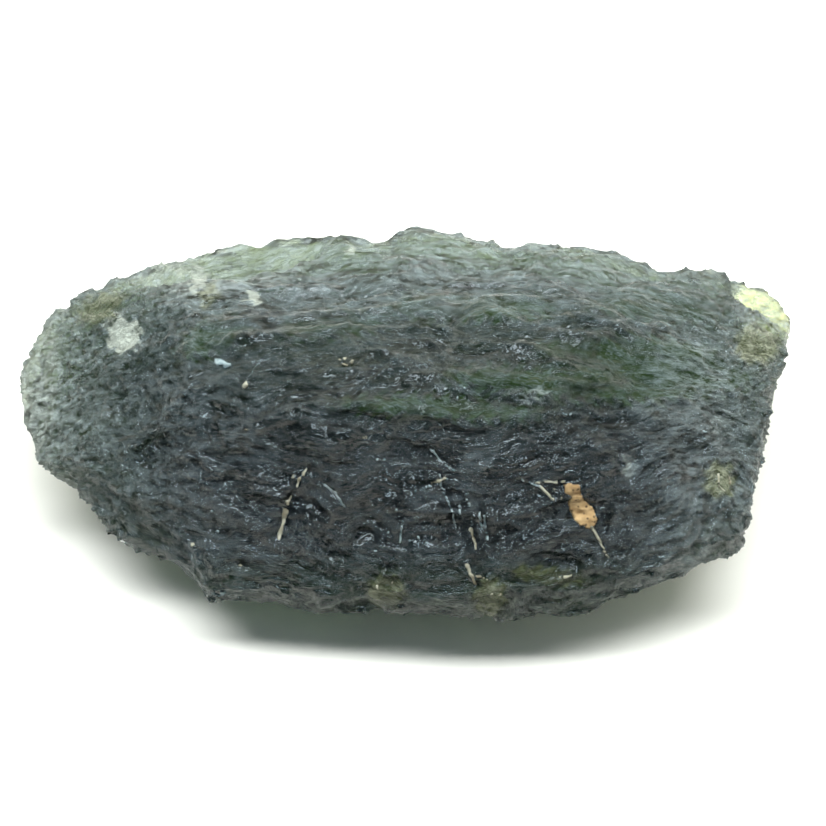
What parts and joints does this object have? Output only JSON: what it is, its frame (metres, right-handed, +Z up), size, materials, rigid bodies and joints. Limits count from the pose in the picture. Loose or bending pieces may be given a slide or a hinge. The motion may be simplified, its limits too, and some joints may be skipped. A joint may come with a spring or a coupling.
{
  "type": "raw moldavite",
  "caption": "Raw piece of green natural glass: a lopsided lens with furrowed, pitted skin, thin translucent rim and one broken end",
  "frame": {"origin": "on the surface the stone rests on, under the middle of its bounding box", "axes": "+X along the stone from its tapering end to its broken end, +Y to its back, +Z up as it rests on its broader side"},
  "size_m": [0.0362, 0.0208, 0.0119],
  "materials": {
    "glass": "etched natural glass, satin on the ridges and duller in the furrows"
  },
  "bodies": {
    "root": {"moldavite": "glass"}
  },
  "joints": []
}
